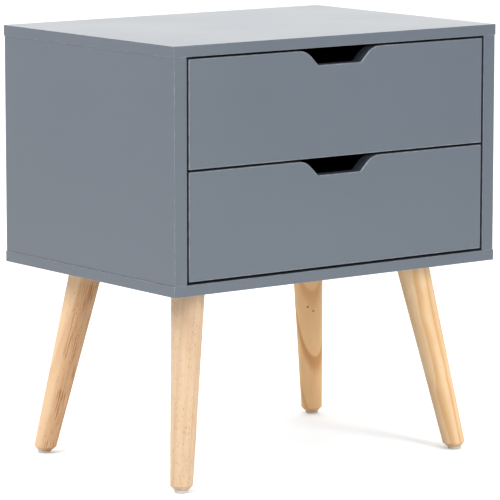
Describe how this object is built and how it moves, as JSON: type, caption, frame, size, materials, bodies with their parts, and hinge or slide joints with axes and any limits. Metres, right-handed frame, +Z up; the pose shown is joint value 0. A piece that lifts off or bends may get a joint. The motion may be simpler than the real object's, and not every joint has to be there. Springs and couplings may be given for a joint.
{
  "type": "nightstand with drawers",
  "caption": "Small grey two-drawer bedside cabinet on splayed, tapered round wooden legs, with finger cut-outs in the flush drawer fronts.",
  "frame": {"origin": "on the floor, under the middle of the case", "axes": "+Z up, -Y out of the drawer fronts, +X to the right seen from the front"},
  "size_m": [0.55, 0.4, 0.6],
  "materials": {
    "grey_paint": "satin",
    "grey_foil": "matte",
    "grey_hardboard": "matte",
    "natural_wood": "satin",
    "runner_steel": "satin",
    "nylon": "satin",
    "zinc": "satin",
    "plate_steel": "satin",
    "bolt_steel": "satin",
    "glide_plastic": "matte"
  },
  "bodies": {
    "case": {"top_board": "grey_paint", "bottom_board": "grey_paint", "left_side_board": "grey_paint", "right_side_board": "grey_paint", "back_panel": "grey_hardboard", "front_left_leg": "natural_wood", "front_left_leg_plate": "plate_steel", "front_left_hanger_bolt": "bolt_steel", "front_left_glide": "glide_plastic", "front_right_leg": "natural_wood", "front_right_leg_plate": "plate_steel", "front_right_hanger_bolt": "bolt_steel", "front_right_glide": "glide_plastic", "rear_left_leg": "natural_wood", "rear_left_leg_plate": "plate_steel", "rear_left_hanger_bolt": "bolt_steel", "rear_left_glide": "glide_plastic", "rear_right_leg": "natural_wood", "rear_right_leg_plate": "plate_steel", "rear_right_hanger_bolt": "bolt_steel", "rear_right_glide": "glide_plastic", "left_front_top_cam": "zinc", "left_front_bottom_screw": "bolt_steel", "left_rear_top_cam": "zinc", "left_rear_bottom_screw": "bolt_steel", "right_front_top_cam": "zinc", "right_front_bottom_screw": "bolt_steel", "right_rear_top_cam": "zinc", "right_rear_bottom_screw": "bolt_steel", "lower_left_case_channel": "runner_steel", "lower_right_case_channel": "runner_steel", "upper_left_case_channel": "runner_steel", "upper_right_case_channel": "runner_steel"},
    "lower_left_rail_roller": {"lower_left_rail_roller": "nylon"},
    "lower_left_channel_roller": {"lower_left_channel_roller": "nylon"},
    "lower_right_rail_roller": {"lower_right_rail_roller": "nylon"},
    "lower_right_channel_roller": {"lower_right_channel_roller": "nylon"},
    "lower_drawer": {"lower_drawer_front": "grey_paint", "lower_drawer_left_side": "grey_foil", "lower_drawer_right_side": "grey_foil", "lower_drawer_back": "grey_foil", "lower_drawer_bottom": "grey_hardboard", "lower_drawer_left_cam": "zinc", "lower_left_drawer_rail": "runner_steel", "lower_drawer_right_cam": "zinc", "lower_right_drawer_rail": "runner_steel"},
    "upper_left_rail_roller": {"upper_left_rail_roller": "nylon"},
    "upper_left_channel_roller": {"upper_left_channel_roller": "nylon"},
    "upper_right_rail_roller": {"upper_right_rail_roller": "nylon"},
    "upper_right_channel_roller": {"upper_right_channel_roller": "nylon"},
    "upper_drawer": {"upper_drawer_front": "grey_paint", "upper_drawer_left_side": "grey_foil", "upper_drawer_right_side": "grey_foil", "upper_drawer_back": "grey_foil", "upper_drawer_bottom": "grey_hardboard", "upper_drawer_left_cam": "zinc", "upper_left_drawer_rail": "runner_steel", "upper_drawer_right_cam": "zinc", "upper_right_drawer_rail": "runner_steel"}
  },
  "joints": [
    {"name": "lower_drawer_slide", "type": "slide", "parent": "case", "child": "lower_drawer", "axis": [0, -1, 0], "range_m": [0, 0.26]},
    {"name": "lower_left_rail_roller_spin", "type": "hinge", "parent": "lower_drawer", "child": "lower_left_rail_roller", "pos_m": [-0.24775, 0.1555, 0.3098], "axis": [1, 0, 0], "continuous": true},
    {"name": "lower_left_channel_roller_spin", "type": "hinge", "parent": "case", "child": "lower_left_channel_roller", "pos_m": [-0.24775, -0.1665, 0.3098], "axis": [1, 0, 0], "continuous": true},
    {"name": "lower_right_rail_roller_spin", "type": "hinge", "parent": "lower_drawer", "child": "lower_right_rail_roller", "pos_m": [0.24775, 0.1555, 0.3098], "axis": [1, 0, 0], "continuous": true},
    {"name": "lower_right_channel_roller_spin", "type": "hinge", "parent": "case", "child": "lower_right_channel_roller", "pos_m": [0.24775, -0.1665, 0.3098], "axis": [1, 0, 0], "continuous": true},
    {"name": "upper_drawer_slide", "type": "slide", "parent": "case", "child": "upper_drawer", "axis": [0, -1, 0], "range_m": [0, 0.26]},
    {"name": "upper_left_rail_roller_spin", "type": "hinge", "parent": "upper_drawer", "child": "upper_left_rail_roller", "pos_m": [-0.24775, 0.1555, 0.4581], "axis": [1, 0, 0], "continuous": true},
    {"name": "upper_left_channel_roller_spin", "type": "hinge", "parent": "case", "child": "upper_left_channel_roller", "pos_m": [-0.24775, -0.1665, 0.4581], "axis": [1, 0, 0], "continuous": true},
    {"name": "upper_right_rail_roller_spin", "type": "hinge", "parent": "upper_drawer", "child": "upper_right_rail_roller", "pos_m": [0.24775, 0.1555, 0.4581], "axis": [1, 0, 0], "continuous": true},
    {"name": "upper_right_channel_roller_spin", "type": "hinge", "parent": "case", "child": "upper_right_channel_roller", "pos_m": [0.24775, -0.1665, 0.4581], "axis": [1, 0, 0], "continuous": true}
  ],
  "couplings": [
    {"joint": "lower_left_rail_roller_spin", "follows": "lower_drawer_slide", "rad_per_m": 111.11},
    {"joint": "lower_left_channel_roller_spin", "follows": "lower_drawer_slide", "rad_per_m": 111.11},
    {"joint": "lower_right_rail_roller_spin", "follows": "lower_drawer_slide", "rad_per_m": 111.11},
    {"joint": "lower_right_channel_roller_spin", "follows": "lower_drawer_slide", "rad_per_m": 111.11},
    {"joint": "upper_left_rail_roller_spin", "follows": "upper_drawer_slide", "rad_per_m": 111.11},
    {"joint": "upper_left_channel_roller_spin", "follows": "upper_drawer_slide", "rad_per_m": 111.11},
    {"joint": "upper_right_rail_roller_spin", "follows": "upper_drawer_slide", "rad_per_m": 111.11},
    {"joint": "upper_right_channel_roller_spin", "follows": "upper_drawer_slide", "rad_per_m": 111.11}
  ]
}
